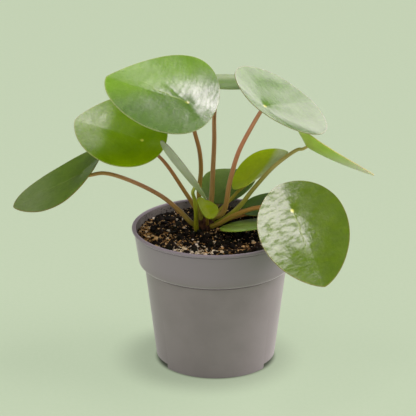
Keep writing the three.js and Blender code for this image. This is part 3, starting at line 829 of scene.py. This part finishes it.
def soil_height(x, y):
    """Height of the soil's surface, as the CAD has it."""
    away = math.hypot(x - STEM_AXIS[0], y - STEM_AXIS[1]) / SOIL_HEAP_RADIUS
    clods = math.sin(0.9 * x + 0.4 * y) * math.cos(0.7 * y - 0.3 * x)
    clods += math.sin(0.35 * x - 0.8 * y + 1) * math.sin(0.55 * x + 0.2 * y)
    return SOIL_LEVEL + SOIL_HEAP * math.exp(-away * away) + CLOD_HEIGHT * clods


def clods(x, y):
    """How far crumbs and clods stand out of the soil's surface."""
    coarse = noise.fractal(Vector((x / CLUMP_SIZE, y / CLUMP_SIZE, 4)), 1, 2, 2)
    fine = noise.fractal(Vector((x / CRUMB_SIZE, y / CRUMB_SIZE, 9)), 1, 2, 3)
    return CLUMP_RISE * coarse + CRUMB_RISE * fine


def soil_bed(material):
    """The filling of the pot: closed all round, its top raised into clods and crumbs."""
    wall = POT_WALL + SOIL_GAP
    floor = POT_FLOOR + SOIL_GAP
    top_radius = COLLAR_TOP_RADIUS - wall - 0.6
    profile = [(0, floor), (FOOT_RADIUS - wall, floor)] + ledge(wall, 0.5 + SOIL_GAP)
    profile += [(top_radius * (SOIL_RINGS - ring) / SOIL_RINGS, SOIL_LEVEL) for ring in range(SOIL_RINGS + 1)]
    work = turned(profile, SOIL_TURNS)
    for vert in work.verts:
        if vert.co.z > SOIL_LEVEL - 0.01:
            x, y, _ = vert.co
            vert.co.z = soil_height(x, y) + clods(x, y)
    steps = [sector(STEP_INNER_RADIUS - POT_WALL - SOIL_GAP, LIP_RADIUS, -5, STEP_RISE + floor,
                    STEP_HALF_ANGLE + 2.4, middle) for middle in (0, 180)]
    work = carved(work, *[("DIFFERENCE", step) for step in steps])
    return finished("soil_bed", work, [material], "soil", "soil")


def scattered(name, material, count, sizes, tones, flatness, seed, stretch=1.0, sink=0.25, clusters=()):
    """Many small angular bits lying on the soil, each turned, squeezed and coloured its own way. Half of them
    lie in clusters, if there are any: each cluster is the place of its middle and its spread both ways."""
    draw = random.Random(seed)
    work = bmesh.new()
    tint = work.verts.layers.float_color.new("tint")
    for _ in range(count):
        away = LOOSE_REACH * math.sqrt(draw.random())
        turn = draw.uniform(0, math.tau)
        x, y = away * math.cos(turn), away * math.sin(turn)
        if clusters and draw.random() < 0.5:
            at_x, at_y, spread_x, spread_y = draw.choice(clusters)
            x, y = draw.gauss(at_x, spread_x), draw.gauss(at_y, spread_y)
        size = sizes[0] + (sizes[1] - sizes[0]) * draw.random() ** 4
        if math.hypot(x, y) > LOOSE_REACH - size:
            continue
        # Patches of the soil, about 8 mm across, stay barer than others.
        if noise.noise(Vector((x / 8, y / 8, seed))) < draw.uniform(-0.6, 0.15):
            continue
        if math.hypot(x - STEM_AXIS[0], y - STEM_AXIS[1]) < STEM_RADIUS + size:
            continue
        z = soil_height(x, y) + clods(x, y) + size * flatness * (0.5 - sink)
        lie = Euler((draw.uniform(-0.5, 0.5), draw.uniform(-0.5, 0.5), draw.uniform(0, math.tau)))
        shape = Vector((size * stretch ** draw.uniform(0, 2), size, size * flatness)) / 2
        bit = bmesh.ops.create_icosphere(work, subdivisions=1, radius=1,
                                         matrix=Matrix.LocRotScale(Vector((x, y, z)), lie, shape))["verts"]
        tone = mixed(linear(draw.choice(tones)), linear(draw.choice(tones)), draw.random() * 0.5)
        for vert in bit:
            vert.co += Vector([draw.uniform(-BIT_UNEVENNESS, BIT_UNEVENNESS) * size for _ in range(3)])
            vert[tint] = tone
    return finished(name, work, [material], "soil")


def main_stem(material):
    """The short woody stem, uneven, with the scars of old leaves."""
    profile = [(0, STEM_FOOT), (STEM_RADIUS, STEM_FOOT)]
    for ring in range(STEM_RINGS + 1):
        share = ring / STEM_RINGS
        radius = STEM_RADIUS + (STEM_TOP_RADIUS - STEM_RADIUS) * share
        profile.append((radius, SOIL_LEVEL + (STEM_TOP - 2.5 - SOIL_LEVEL) * share))
    profile += [(STEM_TOP_RADIUS * 0.8, STEM_TOP - 1), (0, STEM_TOP)]
    work = turned(profile, STEM_SIDES)
    for vert in work.verts:
        out = Vector((vert.co.x, vert.co.y, 0))
        if out.length > 0.1:
            bark = noise.fractal(Vector((vert.co.x / 3, vert.co.y / 3, vert.co.z / 3)), 1, 2, 3)
            ridge = 0.25 * math.sin(vert.co.z * 1.1 + 2 * math.atan2(vert.co.y, vert.co.x))
            vert.co += out.normalized() * (0.45 * bark + ridge - 0.3)
        vert.co += Vector((STEM_AXIS[0], STEM_AXIS[1], 0))
    return finished("woody_stem", work, [material], "stem", "main_stem")


flower_pot([pot_plastic(), stained_and_shaded_plastic()])
soil_bed(damp_soil())
bits = loose_bits()
scattered("soil_crumbs", bits, 2600, (0.8, 5.5), ["#0D0A08", "#1C140E", "#2A2018", "#12180C"], 0.75, 11)
bark_tones = ["#E2C48E", "#D2A86C", "#BC9458", "#8A6638", "#5E4428"]
bark_heaps = [(30, -38, 12, 7), (-38, -18, 9, 9), (-46, 6, 6, 9), (8, -40, 14, 6)]
scattered("bark_chips", bits, 2600, (0.5, 2.9), bark_tones, 0.5, 23, 1.5, clusters=bark_heaps)
scattered("fine_bark", bits, 3000, (0.6, 1.4), bark_tones, 0.6, 29, 1.4, clusters=bark_heaps)
scattered("pale_grains", bits, 1300, (0.5, 2.6), ["#E6DCC0", "#DCCBA2", "#EFE6D2"], 0.7, 37, 1.1, 0.1,
          clusters=[(-20, -32, 9, 4), (-12, -38, 10, 4)])
main_stem(stem_bark())
blade_materials = [leaf_skin(), leaf_underside()]
stalk_materials = [stalk_skin()]
for number, leaf in enumerate(LEAVES, start=1):
    leaf_blade(number, leaf, blade_materials)
    leaf_stalk(number, leaf, stalk_materials)

# The floor, plain and pale, as wide as every view needs.
floor_mesh = bpy.data.meshes.new("floor")
floor_work = bmesh.new()
bmesh.ops.create_grid(floor_work, x_segments=1, y_segments=1, size=6)
floor_work.to_mesh(floor_mesh)
floor_work.free()
floor_mesh.materials.append(sage_floor())
floor = bpy.data.objects.new("floor", floor_mesh)
bpy.context.scene.collection.objects.link(floor)


def soft_box(name, place, size, radiance):
    """A soft box over the plant, facing straight down. Its brightness is what its sheen shows."""
    light = bpy.data.lights.new(name, "AREA")
    light.shape = "RECTANGLE"
    light.size, light.size_y = size[0] * MM, size[1] * MM
    light.energy = radiance * math.pi * light.size * light.size_y
    light.color = linear(LIGHT_TONE)[:3]
    lamp = bpy.data.objects.new(name, light)
    lamp.location = Vector(place) * MM
    bpy.context.scene.collection.objects.link(lamp)


def soft_light(name, direction, elevation, spread, strength, glossy=True):
    """A far soft light. Direction is 0 straight behind the plant and 90 on its right; spread is its width in
    degrees. A light that is not glossy is polarised, so that it lights the plant without a shine."""
    light = bpy.data.lights.new(name, "SUN")
    light.angle = math.radians(spread)
    light.energy = strength
    light.color = linear(LIGHT_TONE)[:3]
    lamp = bpy.data.objects.new(name, light)
    lamp.visible_glossy = glossy
    lamp.rotation_euler = (math.radians(90 - elevation), 0, math.radians(180 - direction))
    bpy.context.scene.collection.objects.link(lamp)


soft_light("right_light", direction=88, elevation=39, spread=32, strength=1.84)
soft_light("back_right_light", direction=26, elevation=16, spread=27, strength=0.36)
soft_box("overhead_box", place=(-35, 64, 700), size=(80, 207), radiance=18.3)
soft_light("right_fill", direction=105, elevation=30, spread=120, strength=1.6, glossy=False)
soft_light("front_fill", direction=222, elevation=28, spread=100, strength=1.7, glossy=False)
soft_light("low_right_fill", direction=88, elevation=2, spread=60, strength=1.65, glossy=False)
soft_light("low_left_fill", direction=265, elevation=2, spread=60, strength=0.8, glossy=False)

world = bpy.data.worlds.new("studio")
bpy.context.scene.world = world
world.use_nodes = True
world.node_tree.nodes["Background"].inputs["Color"].default_value = linear("#F4F6F0")
world.node_tree.nodes["Background"].inputs["Strength"].default_value = 0.08
bpy.context.scene.view_settings.view_transform = "Standard"

camera_data = bpy.data.cameras.new("camera")
camera_data.lens = CAMERA_LENS
camera_data.sensor_width = CAMERA_SENSOR
camera_data.clip_start = CAMERA_NEAREST * MM
camera = bpy.data.objects.new("camera", camera_data)
tilt = math.radians(CAMERA_ELEVATION)
away = Vector((0, -math.cos(tilt), math.sin(tilt))) * CAMERA_DISTANCE
camera.location = (Vector(CAMERA_AIM) + away) * MM
camera.rotation_euler = (math.pi / 2 - tilt, 0, 0)
bpy.context.scene.collection.objects.link(camera)
bpy.context.scene.camera = camera
